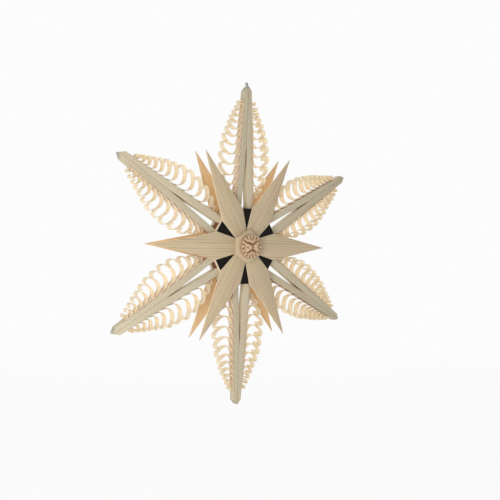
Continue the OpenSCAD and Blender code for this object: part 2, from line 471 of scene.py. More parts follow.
class Finish(Enum):
    """Every finish on the star."""

    STICK = WoodFinish(
        "stick_wood", linear(220, 209, 182), linear(184, 170, 136), linear(216, 196, 170),
        line_pitch=1.25, line_share=0.4,
    )
    END_GRAIN = WoodFinish(
        "end_grain", linear(196, 187, 170), linear(160, 150, 132), linear(190, 178, 160),
        line_pitch=0.6, line_share=0.4,
    )
    # Its mark colour is a painted warm glow half way up each shaving
    SHAVING = WoodFinish(
        "shaving_wood", linear(248, 243, 230), linear(236, 226, 206), linear(248, 238, 218),
        line_pitch=0.9, line_share=0.35, glow=0.5, glow_colour=linear(255, 247, 228),
        stain=linear(247, 232, 208),
    )
    # Its mark colour is painted shade deep in the cuts and under the shavings' leads
    FRESH_CUT = WoodFinish(
        "fresh_cut_wood", linear(244, 230, 208), linear(224, 202, 172), linear(242, 220, 194),
        line_pitch=0.9, line_share=0.35, stain=linear(176, 92, 52),
    )
    # Stick wood with painted shade, as its mark colour, in the crevice where a ray's two sticks meet
    SEAM = WoodFinish(
        "seam_wood", linear(220, 205, 176), linear(184, 166, 132), linear(216, 192, 164),
        stain=linear(138, 92, 62),
    )
    PETAL = WoodFinish(
        "petal_veneer", linear(230, 212, 176), linear(168, 148, 106), linear(230, 202, 174),
        fibre_share=0.25, glow=0.12, glow_colour=linear(250, 214, 168),
    )
    # Paler colour on the petals' thin edges: a painted highlight of their lit edges
    CUT_EDGE = WoodFinish(
        "cut_edge", linear(240, 224, 194), linear(220, 200, 166), linear(238, 214, 184), line_share=0.2,
    )
    REAR_PETAL = WoodFinish(
        "rear_petal_veneer", linear(230, 216, 190), linear(172, 155, 121), linear(228, 206, 184),
        fibre_share=0.25, glow=0.4, glow_colour=linear(255, 244, 226),
    )
    # Rear petals' inner face: its warmer base colour is a painted glow of back light through the veneer
    PETAL_INSIDE = WoodFinish(
        "petal_inside_veneer", linear(246, 222, 184), linear(206, 172, 128), linear(246, 214, 176),
        fibre_share=0.25, glow=0.4, glow_colour=linear(255, 216, 164),
    )
    PLATE = WoodFinish(
        "plate_wood", linear(240, 226, 200), linear(210, 190, 156), linear(236, 214, 188), line_pitch=0.8,
    )
    # A dark colour that stands for the deep shade between the plates: painted shade
    CORE = WoodFinish(
        "core_wood", linear(124, 74, 32), linear(78, 44, 18), linear(116, 66, 30), line_pitch=0.9,
    )
    # Its mark colour is painted shade in the carving's crevices, pits, floor and wall
    BLOSSOM = WoodFinish(
        "blossom_wood", linear(220, 189, 155), linear(192, 160, 124), linear(218, 181, 147),
        line_share=0.15, fibre_share=0.3, stain=linear(96, 58, 28),
    )
    STAIN = StainFinish("black_stain", linear(13, 9, 8), linear(26, 20, 17))
    WIRE = WireFinish("dark_wire", linear(110, 106, 102), linear(62, 58, 55))


class Wardrobe:
    """Makes each finish's material once."""

    def __init__(self) -> None:
        """Starts with nothing made."""
        self.made: dict[Finish, bpy.types.Material] = {}

    def get(self, finish: Finish) -> bpy.types.Material:
        """Gives a finish's material, made at its first use.

        Args:
            finish: The finish.

        Returns:
            Its material.
        """
        if finish not in self.made:
            self.made[finish] = finish.value.material()
        return self.made[finish]


@dataclass(frozen=True)
class StarLine:
    """A line out from the star's middle that a ray or a petal lies along.

    A piece is modelled with X out along its line, Z across it to the left and Y its depth.
    """

    middle: Vector
    angle: float

    def place(self) -> Matrix:
        """Returns the transform from the line's own axes to the star's."""
        return Matrix.Translation(self.middle) @ Matrix.Rotation(-self.angle, 4, "Y")


def lay_grain(bm: BMesh, along: Callable, across: Callable, shift: Point) -> None:
    """Writes the grain map of a piece, in millimetres.

    Args:
        bm: The piece's mesh.
        along: Gives the distance along the grain from a vertex's place.
        across: Gives the distance across the grain from a vertex's place.
        shift: Distances added to both, so that no two pieces have the same figure.
    """
    layer = bm.loops.layers.uv.new(GRAIN_MAP)
    for face in bm.faces:
        for loop in face.loops:
            place = loop.vert.co
            loop[layer].uv = (along(place) / MM + shift[0], across(place) / MM + shift[1])


def flat_face(bm: BMesh, outline: Iterable[Point], depth: float) -> BMFace:
    """Adds a face across the depth; the outline's points lie along the line and across it."""
    return bm.faces.new([bm.verts.new((x, depth, z)) for x, z in outline])


def thicken(bm: BMesh, face: BMFace, depth: float) -> None:
    """Extrudes a flat face along Y into a closed plate.

    Args:
        bm: Mesh that holds the face.
        face: The face to extrude.
        depth: Distance to extrude, along +Y.
    """
    grown = bmesh.ops.extrude_face_region(bm, geom=[face], use_keep_orig=True)["geom"]
    moved = [v for v in grown if isinstance(v, BMVert)]
    bmesh.ops.translate(bm, verts=moved, vec=(0.0, depth, 0.0))
    bmesh.ops.recalc_face_normals(bm, faces=bm.faces)


def ease_edges(bm: BMesh, edges: Sequence[BMEdge], width: float) -> None:
    """Rounds edges over slightly, as sanding does.

    Args:
        bm: Mesh that holds the edges.
        edges: The edges to round.
        width: Width of the rounding.
    """
    bmesh.ops.bevel(
        bm, geom=list(edges), offset=width, offset_type="OFFSET", segments=EASE_STEPS, profile=0.5,
        affect="EDGES", material=-1, clamp_overlap=True,
    )


def spin(
    bm: BMesh, geom: Sequence, centre: Sequence[float], axis: Sequence[float], angle: float, steps: int,
) -> list:
    """Sweeps points and edges round an axis; a full turn closes on itself.

    Args:
        bm: Mesh that holds them.
        geom: The points and edges.
        centre: A point on the axis.
        axis: Direction of the axis.
        angle: Angle of the sweep.
        steps: Faces along the sweep.

    Returns:
        The points and edges at the end of the sweep.
    """
    return bmesh.ops.spin(
        bm, geom=geom, cent=centre, axis=axis, dvec=(0, 0, 0), angle=angle, steps=steps,
        use_merge=angle == math.tau, use_normal_flip=False, use_duplicate=False,
    )["geom_last"]


def slice_mesh(bm: BMesh, place: Sequence[float], normal: Sequence[float]) -> None:
    """Cuts every face along a plane and keeps both sides."""
    everything = bm.verts[:] + bm.edges[:] + bm.faces[:]
    bmesh.ops.bisect_plane(bm, geom=everything, plane_co=place, plane_no=normal)


def make_mesh(name: str, bm: BMesh) -> bpy.types.Mesh:
    """Turns a finished bmesh into a mesh and frees it.

    Args:
        name: Name of the mesh.
        bm: The finished bmesh.

    Returns:
        The new mesh.
    """
    mesh = bpy.data.meshes.new(name)
    bm.to_mesh(mesh)
    bm.free()
    return mesh


def add_object(name: str, data: bpy.types.ID) -> bpy.types.Object:
    """Puts a mesh, lamp or camera in the scene.

    Args:
        name: Name of the object.
        data: The mesh, lamp or camera.

    Returns:
        The new object.
    """
    made = bpy.data.objects.new(name, data)
    bpy.context.scene.collection.objects.link(made)
    return made


def make_piece(
    bm: BMesh,
    name: str,
    materials: Sequence[bpy.types.Material],
    nodes: Sequence[str],
    crease: float = CREASE,
) -> None:
    """Turns a finished mesh into a piece that stands for its nodes.

    Args:
        bm: The finished mesh, in the star's own frame. It is freed.
        name: Name of the piece.
        materials: Materials, in the order of the mesh's material indices.
        nodes: Nodes that the piece stands for.
        crease: Angle over which an edge stays sharp.
    """
    mesh = make_mesh(name, bm)
    mesh.polygons.foreach_set("use_smooth", [True] * len(mesh.polygons))
    mesh.set_sharp_from_angle(angle=crease)
    for material in materials:
        mesh.materials.append(material)
    piece = add_object(name, mesh)
    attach(piece, BODY)
    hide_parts(*nodes)
    LOG.info("%s: %d faces", name, len(mesh.polygons))


@dataclass
class StarFrame:
    """The star's overall sizes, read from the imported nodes."""

    middle: Vector
    ray_tip: float
    core_flat: float
    plate_flat: float
    cap_corner: float
    petal_tip: float
    petal_half: float
    stick_depth: float

    @classmethod
    def read(cls) -> "StarFrame":
        """Measures the nodes.

        Returns:
            The sizes.
        """
        plate_low, plate_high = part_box("front_plate")
        middle = (plate_low + plate_high) / 2
        middle.y = 0.0
        stick_low, stick_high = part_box("ray_4_left_stick")
        petal_low, petal_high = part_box("front_petal_2")
        return cls(
            middle=middle,
            ray_tip=middle.z - stick_low.z,
            core_flat=middle.z - stick_high.z,
            plate_flat=plate_high.z - middle.z,
            cap_corner=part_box("front_cap")[1].z - middle.z,
            petal_tip=middle.x - petal_low.x,
            petal_half=(petal_high.z - petal_low.z) / 2,
            stick_depth=stick_high.y - stick_low.y,
        )

    def ray(self, number: int) -> StarLine:
        """Returns the line of a ray, the first straight up and the rest to its left."""
        return StarLine(self.middle, QUARTER + RAY_STEP * (number - 1))

    def petal(self, number: int) -> StarLine:
        """Returns the line of a petal, half a step on from the ray of that number."""
        return StarLine(self.middle, self.ray(number).angle + RAY_STEP / 2)


@dataclass
class Shaving:
    """One curled shaving: a straight lead, a bend, a long sweep back, a crest and a roll.

    It is modelled with X along the stick towards the hub, Z away from the stick and Y its width.
    Headings are measured from X, and the shares are the radii of the arcs against each other.
    """

    reach: float
    size: float
    width: float
    end_heading: float
    lean: float
    thickness: float = 0.34 * MM
    cut: float = 0.6 * MM
    rise: float = math.radians(15)
    longest_lead: float = 4.3 * MM
    lead_floor: float = 0.45
    longest_roll: float = 1.95 * MM
    roll_floor: float = 0.44
    bend_heading: float = math.radians(95)
    sweep_heading: float = math.radians(138)
    crest_heading: float = math.radians(186)
    bend_share: float = 0.31
    sweep_share: float = 0.6
    crest_share: float = 0.21
    sweep_lean: float = 1 / 3
    crest_lean: float = 1 / 2
    overlap: float = 0.3 * MM
    bend_steps: int = 6
    sweep_steps: int = 4
    crest_steps: int = 4
    roll_steps: int = 13
    # Height and spread of the painted warm glow, as shares of the reach
    blush_place: float = 0.4
    blush_spread: float = 0.24
    under_facing: float = 0.9

    @classmethod
    def foot(cls) -> float:
        """Distance along the stick from a shaving's root to where its upper face meets the edge."""
        buried = (cls.cut - cls.thickness * math.cos(cls.rise)) / math.sin(cls.rise)
        return buried * math.cos(cls.rise) - cls.thickness * math.sin(cls.rise)

    def build(self) -> BMesh:
        """Bends the shaving out of one edge.

        Returns:
            Its closed mesh.
        """
        lead = self.longest_lead * (self.lead_floor + (1 - self.lead_floor) * self.size)
        roll = self.longest_roll * (self.roll_floor + (1 - self.roll_floor) * self.size)
        rise, bend, sweep = self.rise, self.bend_heading, self.sweep_heading
        shares = (
            self.bend_share * (math.cos(rise) - math.cos(bend))
            + self.sweep_share * (math.cos(bend) - math.cos(sweep))
            + self.crest_share * (math.cos(sweep) + 1)
        )
        unit = (self.reach - lead * math.sin(rise) + self.cut) / shares
        bm = bmesh.new()
        heading = Vector((math.cos(rise), 0.0, math.sin(rise)))
        root = Vector((0.0, 0.0, -self.cut)) - heading * self.overlap
        half = Vector((0.0, self.width / 2, 0.0))
        edge = bm.edges.new((bm.verts.new(root - half), bm.verts.new(root + half)))
        grown = bmesh.ops.extrude_edge_only(bm, edges=[edge])["geom"]
        front = [v for v in grown if isinstance(v, BMVert)]
        bmesh.ops.translate(bm, verts=front, vec=heading * (lead + self.overlap))
        edge = next(e for e in grown if isinstance(e, BMEdge) and set(e.verts) == set(front))
        start = rise
        for radius, stop, steps, lean in (
            (self.bend_share * unit, bend, self.bend_steps, 0.0),
            (self.sweep_share * unit, sweep, self.sweep_steps, self.lean * self.sweep_lean),
            (self.crest_share * unit, self.crest_heading, self.crest_steps, self.lean * self.crest_lean),
            (roll, self.end_heading, self.roll_steps, self.lean),
        ):
            edge = self.curl(bm, edge, radius, start, stop, steps, lean)
            start = stop
        bmesh.ops.recalc_face_normals(bm, faces=bm.faces)
        bmesh.ops.solidify(bm, geom=bm.faces[:], thickness=self.thickness)
        bmesh.ops.recalc_face_normals(bm, faces=bm.faces)
        self.colour(bm, lead)
        return bm

    @staticmethod
    def curl(
        bm: BMesh, edge: BMEdge, radius: float, start: float, stop: float, steps: int, lean: float,
    ) -> BMEdge:
        """Spins the shaving's free edge on round an arc.

        Args:
            bm: The shaving's mesh.
            edge: Its free edge.
            radius: Radius of the arc.
            start: Heading of the shaving before the arc.
            stop: Heading after it.
            steps: Faces along the arc.
            lean: Slant of the arc's axis, which makes the roll a little conical.

        Returns:
            The new free edge.
        """
        place = (edge.verts[0].co + edge.verts[1].co) / 2
        inward = Vector((-math.sin(start), 0.0, math.cos(start)))
        axis = Vector((lean, -1.0, 0.0)).normalized()
        last = spin(bm, [edge, *edge.verts], place + inward * radius, axis, stop - start, steps)
        return next(e for e in last if isinstance(e, BMEdge))

    def colour(self, bm: BMesh, lead: float) -> None:
        """Marks a painted warm glow half way up, and painted shade under the lead where it leaves the stick.

        Args:
            bm: The shaving's mesh.
            lead: Length of its lead.
        """
        mark = bm.verts.layers.float.new(PAINTED_LIGHT_MARK)
        # Painted warm glow, strongest part way up the shaving
        for vert in bm.verts:
            vert[mark] = hill(vert.co.z / self.reach - self.blush_place, self.blush_spread)
        for face in bm.faces:
            low = face.calc_center_median().z < lead * math.sin(self.rise)
            face.material_index = StickPart.SHAVING
            if low and face.normal.z < -self.under_facing:
                face.material_index = StickPart.CUT
                # Painted shade on the half of the lead's underside where it leaves the stick
                for vert in face.verts:
                    vert[mark] = float(vert.co.x < lead / 2)


@dataclass
class ShavedStick:
    """One of the two sticks of a ray, with its row of shavings raised from its outer edge."""

    star: StarFrame
    ray: int
    side: Side
    width: float = 4.7 * MM
    end_half: float = 2.55 * MM
    splay: float = math.radians(3.55)
    point_angle: float = math.radians(49)
    shaving_count: int = 13
    first_root: float = 8.8 * MM
    last_root: float = 10.0 * MM
    longest: float = 13.6 * MM
    shortest: float = 3.2 * MM
    gap_spread: float = 1.2
    gap_skew: float = 2.6
    reach_skew: float = 1.25
    reach_fullness: float = 0.8
    roll_sway: float = math.radians(15)
    lean_spread: float = 0.05
    unevenness: float = 0.03
    shaving_inset: float = 0.04 * MM
    grain_skew: float = 0.9
    edge_ease: float = 0.18 * MM
    end_margin: float = 0.5 * MM
    soft_length: float = 5.0 * MM
    # seam_length also sets how far the seam's painted shade runs; wedge_fade sets how it deepens into each
    # cut
    seam_length: float = 14.0 * MM
    wedge_length: float = 3.0 * MM
    wedge_fade: float = 2.0
    end_facing: float = 0.5
    side_facing: float = 0.9
    tight_rows: tuple[tuple[int, Side], ...] = (
        (1, Side.RIGHT), (4, Side.LEFT), (5, Side.LEFT), (6, Side.RIGHT),
    )
    rng: random.Random = field(init=False)

    def __post_init__(self) -> None:
        """Seeds the stick's own unevenness."""
        self.rng = random.Random(f"stick {self.ray} {self.side.name}")

    @property
    def name(self) -> str:
        """Name of the stick's node."""
        return f"ray_{self.ray}_{self.side.name.lower()}_stick"

    @property
    def winding(self) -> Winding:
        """How far this row is rolled in."""
        return Winding.TIGHT if (self.ray, self.side) in self.tight_rows else Winding.LOOSE

    @property
    def shoulder(self) -> float:
        """Distance out to where the pointed end starts."""
        return self.star.ray_tip - self.end_half * math.tan(self.point_angle)

    @property
    def crotch(self) -> float:
        """Distance out to where the ray's two sticks part."""
        return self.shoulder - (self.width / math.cos(self.splay) - self.end_half) / math.tan(self.splay)

    @property
    def seam_end(self) -> float:
        """Distance out to where the painted shade beside the seam fades away."""
        return self.crotch - self.seam_length

    def edge(self, out: float) -> float:
        """Distance of the outer edge from the ray's middle line, at a distance out."""
        return self.end_half + (self.shoulder - out) * math.tan(self.splay)

    def inner(self, out: float) -> float:
        """Distance of the inner edge from the ray's middle line, at a distance out."""
        return max(0.0, self.edge(out) - self.width / math.cos(self.splay))

    def sunk(self, place: Vector) -> float:
        """Depth of a place below the line of the stick's outer edge."""
        return self.edge(place.x) - place.z

    def roots(self) -> list[float]:
        """Works out where the shavings start.

        Returns:
            Shares of the row's length, from 0 at the tip end to 1 at the hub end.
        """
        gaps = self.shaving_count - 1
        middles = [(k + 0.5) / gaps for k in range(gaps)]
        weights = [1 + self.gap_spread * math.sin(math.pi * m**self.gap_skew) for m in middles]
        return [sum(weights[:k]) / sum(weights) for k in range(self.shaving_count)]

    def root_out(self, share: float) -> float:
        """Measures from the star's middle out to a root.

        Args:
            share: Place of the root, as a share of the row.

        Returns:
            The distance.
        """
        first = self.star.ray_tip - self.first_root
        last = self.star.plate_flat + self.last_root
        return first + (last - first) * share

    def on_edge(self, out: float, x: float, z: float) -> Point:
        """A point measured along the edge from a root towards the hub, and away from the stick."""
        lean_cos, lean_sin = math.cos(self.splay), math.sin(self.splay)
        return out - x * lean_cos + z * lean_sin, self.edge(out) + x * lean_sin + z * lean_cos

    def outline(self) -> list[Point]:
        """Works out the bare stick's outline, with the ramp and the cut of each shaving.

        Returns:
            Corners as distances out along the ray and across it.
        """
        core = self.star.core_flat
        corners = [(core, self.inner(core)), (core, self.edge(core))]
        foot = Vector(corners[-1])
        for share in reversed(self.roots()):
            root = self.root_out(share)
            start = Vector(self.on_edge(root, 0.0, -Shaving.cut))
            wedge = start + (foot - start).normalized() * self.wedge_length
            foot = Vector(self.on_edge(root, Shaving.foot(), 0.0))
            corners += [tuple(wedge), tuple(start), tuple(foot)]
        corners += [(self.shoulder, self.end_half), (self.star.ray_tip, 0.0), (self.crotch, 0.0)]
        return corners + [(self.seam_end, self.inner(self.seam_end))]

    def part_of(self, face: BMFace) -> StickPart:
        """Sorts a face of the bare stick by the way that it points and where it is.

        Args:
            face: The face.

        Returns:
            The part that it belongs to.
        """
        out = face.calc_center_median().x
        if face.normal.x > self.end_facing:
            return StickPart.END
        if face.normal.z > self.side_facing and out < self.root_out(0.0):
            return StickPart.CUT
        if face.normal.z < -self.side_facing and out > self.seam_end:
            return StickPart.SEAM
        return StickPart.BARE

    def bar(self) -> BMesh:
        """Builds the bare stick and marks painted shade in its cuts and along its seam.

        Returns:
            Its mesh.
        """
        depth = self.star.stick_depth
        bm = bmesh.new()
        mark = bm.verts.layers.float.new(PAINTED_LIGHT_MARK)
        thicken(bm, flat_face(bm, self.outline(), -depth / 2), depth)
        soft = [e for e in bm.edges if all(v.co.x > self.shoulder - self.end_margin for v in e.verts)]
        soft += [
            e for e in bm.edges
            if e.calc_length() > self.soft_length and all(self.sunk(v.co) > self.width / 2 for v in e.verts)
        ]
        ease_edges(bm, soft, self.edge_ease)
        # Painted shade: growing towards the crotch beside the seam, and deeper into each cut
        for vert in bm.verts:
            sunk = self.sunk(vert.co)
            if sunk > self.width / 2:
                vert[mark] = clamp((vert.co.x - self.seam_end) / self.seam_length)
            else:
                vert[mark] = clamp(sunk / Shaving.cut) ** self.wedge_fade
        for face in bm.faces:
            face.material_index = self.part_of(face)
        return bm

    def shaving(self, share: float) -> BMesh:
        """Builds one shaving of the row, with its own unevenness.

        Args:
            share: Place of its root, as a share of the row.

        Returns:
            Its mesh, in the ray's axes.
        """
        swell = max(0.0, math.sin(math.pi * share**self.reach_skew)) ** self.reach_fullness
        reach = self.shortest + (self.longest - self.shortest) * swell
        reach *= 1 + self.unevenness * self.rng.uniform(-1, 1)
        size = reach / self.longest
        heading, ease = self.winding.value
        bm = Shaving(
            reach=reach,
            size=size,
            width=self.star.stick_depth - 2 * self.shaving_inset,
            end_heading=heading - ease * (1 - size) + self.roll_sway * self.rng.uniform(-1, 1),
            lean=self.rng.uniform(-self.lean_spread, self.lean_spread),
        ).build()
        lay_grain(bm, lambda p: p.z + p.x, lambda p: p.y, grain_shift(self.rng))
        x, z = self.on_edge(self.root_out(share), 0.0, 0.0)
        lean_cos, lean_sin = math.cos(self.splay), math.sin(self.splay)
        place = Matrix((
            (-lean_cos, 0.0, lean_sin, x),
            (0.0, 1.0, 0.0, 0.0),
            (lean_sin, 0.0, lean_cos, z),
            (0.0, 0.0, 0.0, 1.0),
        ))
        bmesh.ops.transform(bm, matrix=place, verts=bm.verts)
        return bm

    def build(self) -> BMesh:
        """Builds the stick with its shavings.

        Returns:
            Its mesh, in the star's frame.
        """
        bm = self.bar()
        lay_grain(bm, lambda p: p.x, lambda p: p.z + self.grain_skew * p.y, grain_shift(self.rng))
        for share in self.roots():
            holder = make_mesh("shaving", self.shaving(share))
            bm.from_mesh(holder)
            bpy.data.meshes.remove(holder)
        if self.side is Side.RIGHT:
            bmesh.ops.scale(bm, vec=(1.0, 1.0, -1.0), verts=bm.verts)
        bmesh.ops.recalc_face_normals(bm, faces=bm.faces)
        bmesh.ops.transform(bm, matrix=self.star.ray(self.ray).place(), verts=bm.verts)
        return bm

    def dress(self, wardrobe: Wardrobe) -> None:
        """Builds the stick and gives each part its finish.

        Args:
            wardrobe: Gives the materials.
        """
        finishes = {
            StickPart.BARE: Finish.STICK,
            StickPart.SHAVING: Finish.SHAVING,
            StickPart.END: Finish.END_GRAIN,
            StickPart.CUT: Finish.FRESH_CUT,
            StickPart.SEAM: Finish.SEAM,
        }
        woods = [wardrobe.get(finishes[part]) for part in StickPart]
        make_piece(self.build(), f"shaved_{self.name}", woods, [self.name])


@dataclass
class Petal:
    """A pointed veneer petal, mitred against its neighbours under the cap."""

    star: StarFrame
    number: int
    face: Face
    inner_end: float = 3.0 * MM
    part: float = 9.5 * MM
    gap: float = 0.1 * MM
    edge_ease: float = 0.08 * MM
    slice_length: float = 6.0 * MM
    flare: float = 0.35 * MM
    least_flare: float = 0.2
    cup: float = 0.12 * MM
    cup_rise: float = 2.0
    edge_facing: float = 0.9

    @property
    def node(self) -> str:
        """Name of the petal's node."""
        return f"{self.face.name.lower()}_petal_{self.number}"

    def outline(self) -> list[Point]:
        """Works out the petal's outline.

        Returns:
            Corners as distances out along the petal and across it.
        """
        half_step = RAY_STEP / 2
        star = self.star
        wide = (star.plate_flat - star.petal_half * math.sin(half_step)) / math.cos(half_step)
        upper = [
            (self.inner_end, self.inner_end * math.tan(half_step) - self.gap),
            (self.part * math.cos(half_step), self.part * math.sin(half_step) - self.gap),
            (wide, star.petal_half),
        ]
        return upper + [(star.petal_tip, 0.0)] + [(x, -z) for x, z in reversed(upper)]

    def build(self) -> BMesh:
        """Cuts the petal out, slices it and bows it.

        Returns:
            Its mesh, in the star's frame.
        """
        rng = random.Random(f"petal {self.node}")
        low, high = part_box(self.node)
        bm = bmesh.new()
        thicken(bm, flat_face(bm, self.outline(), low.y), high.y - low.y)
        ease_edges(bm, bm.edges[:], self.edge_ease)
        for face in bm.faces:
            outward = face.normal.y * self.face.value
            if abs(outward) < self.edge_facing:
                face.material_index = PetalPart.EDGE
            elif outward < 0:
                face.material_index = PetalPart.INSIDE
        start, tip = self.star.plate_flat, self.star.petal_tip
        cut = start
        while cut < tip - self.slice_length:
            slice_mesh(bm, (cut, 0, 0), (1, 0, 0))
            cut += self.slice_length
        slice_mesh(bm, (0, 0, 0), (0, 0, 1))
        lay_grain(bm, lambda p: p.x, lambda p: p.z + p.y, grain_shift(rng))
        flare = self.flare * rng.uniform(self.least_flare, 1.0)
        for vert in bm.verts:
            share = max(0.0, (vert.co.x - start) / (tip - start))
            bow = self.cup * min(1.0, self.cup_rise * share) * (1 - abs(vert.co.z) / self.star.petal_half)
            vert.co.y += self.face.value * (flare * share**2 + bow)
        bmesh.ops.transform(bm, matrix=self.star.petal(self.number).place(), verts=bm.verts)
        bmesh.ops.recalc_face_normals(bm, faces=bm.faces)
        return bm

    def dress(self, wardrobe: Wardrobe) -> None:
        """Builds the petal and gives it its veneer.

        Args:
            wardrobe: Gives the materials.
        """
        front = self.face is Face.FRONT
        finishes = {
            PetalPart.OUTSIDE: Finish.PETAL if front else Finish.REAR_PETAL,
            # Petal edges take the painted highlight
            PetalPart.EDGE: Finish.CUT_EDGE,
            # The rear petals' inner face takes the painted glow of back light
            PetalPart.INSIDE: Finish.PETAL if front else Finish.PETAL_INSIDE,
        }
        woods = [wardrobe.get(finishes[part]) for part in PetalPart]
        make_piece(self.build(), f"veneer_{self.node}", woods, [self.node])


@dataclass
class HubLayer:
    """A hexagonal layer of the hub, made to its node's box."""

    star: StarFrame
    node: str
    finish: Finish
    slot: str
    corner: float
    turned: bool
    edge_ease: float

    def build(self) -> BMesh:
        """Builds the layer out of a hexagon.

        Returns:
            Its mesh, in the star's frame.
        """
        rng = random.Random(f"layer {self.node}")
        low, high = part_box(self.node)
        bm = bmesh.new()
        bmesh.ops.create_circle(bm, cap_ends=True, segments=RAY_COUNT, radius=self.corner)
        turn = Matrix.Rotation(RAY_STEP / 2 if self.turned else 0.0, 4, "Y")
        upright = turn @ Matrix.Rotation(QUARTER, 4, "X")
        place = Matrix.Translation((0.0, low.y + SKIN, 0.0)) @ upright
        bmesh.ops.transform(bm, matrix=place, verts=bm.verts)
        bm.faces.ensure_lookup_table()
        thicken(bm, bm.faces[0], high.y - low.y - 2 * SKIN)
        ease_edges(bm, bm.edges[:], self.edge_ease)
        lay_grain(bm, lambda p: p.z, lambda p: p.x + p.y, grain_shift(rng))
        bmesh.ops.translate(bm, verts=bm.verts, vec=self.star.middle)
        bmesh.ops.recalc_face_normals(bm, faces=bm.faces)
        return bm

    def dress(self, wardrobe: Wardrobe) -> None:
        """Builds the layer and gives it its finish."""
        wood = [wardrobe.get(self.finish)]
        make_piece(self.build(), f"dressed_{self.node}", wood, [self.node])


@dataclass
class Hub:
    """The hub's hexagonal layers on each face: plate, facing and cap."""

    star: StarFrame
    plate_ease: float = 0.25 * MM
    facing_ease: float = 0.08 * MM
    cap_ease: float = 0.3 * MM

    def layers(self) -> list[HubLayer]:
        """Lists the hub's layers.

        Returns:
            The front ones from the plate outwards, then the rear ones.
        """
        plate = self.star.plate_flat / math.cos(RAY_STEP / 2)
        rows = (
            ("plate", Finish.PLATE, "plate_wood", plate, True, self.plate_ease),
            ("facing", Finish.STAIN, "black_face", plate, True, self.facing_ease),
            ("cap", Finish.PETAL, "petal_wood", self.star.cap_corner, False, self.cap_ease),
        )
        return [
            HubLayer(self.star, f"{face.name.lower()}_{layer}", *rest)
            for face in Face for layer, *rest in rows
        ]

    def dress(self, wardrobe: Wardrobe) -> None:
        """Builds every layer and gives it its finish."""
        for layer in self.layers():
            layer.dress(wardrobe)


@dataclass
class HubCore:
    """The core between the plates, coloured dark as painted shade: a hexagon with a spacer between each
    ray's two sticks.
    """

    star: StarFrame
    node: str = "hub_core"
    spacer_fit: float = 0.1 * MM
    spacer_show: float = 0.6 * MM
    edge_ease: float = 0.15 * MM
    figure: Point = (70.0, 15.0)

    def build(self) -> BMesh:
        """Builds the core with its six spacers.

        Returns:
            Its mesh, in the star's frame.
        """
        low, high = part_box(self.node)
        flat = self.star.core_flat
        end = high.z - self.star.middle.z + self.spacer_show
        stick = ShavedStick(self.star, 1, Side.LEFT)
        root_half = stick.inner(flat) - self.spacer_fit
        end_half = stick.inner(end) - self.spacer_fit
        corners = (
            (flat, -root_half), (end, -end_half), (end, end_half), (flat, root_half),
            (flat, flat * math.tan(RAY_STEP / 2)),
        )
        turns = [Matrix.Rotation(number * RAY_STEP, 2) for number in range(RAY_COUNT)]
        outline = [tuple(turn @ Vector(corner)) for turn in turns for corner in corners]
        bm = bmesh.new()
        thicken(bm, flat_face(bm, outline, low.y), high.y - low.y)
        ease_edges(bm, bm.edges[:], self.edge_ease)
        lay_grain(bm, lambda p: p.y, lambda p: p.x + p.z, self.figure)
        bmesh.ops.transform(bm, matrix=self.star.ray(1).place(), verts=bm.verts)
        bmesh.ops.recalc_face_normals(bm, faces=bm.faces)
        return bm

    def dress(self, wardrobe: Wardrobe) -> None:
        """Builds the core and gives it its wood."""
        # The core's dark finish is painted shade
        make_piece(self.build(), "spaced_core", [wardrobe.get(Finish.CORE)], [self.node])


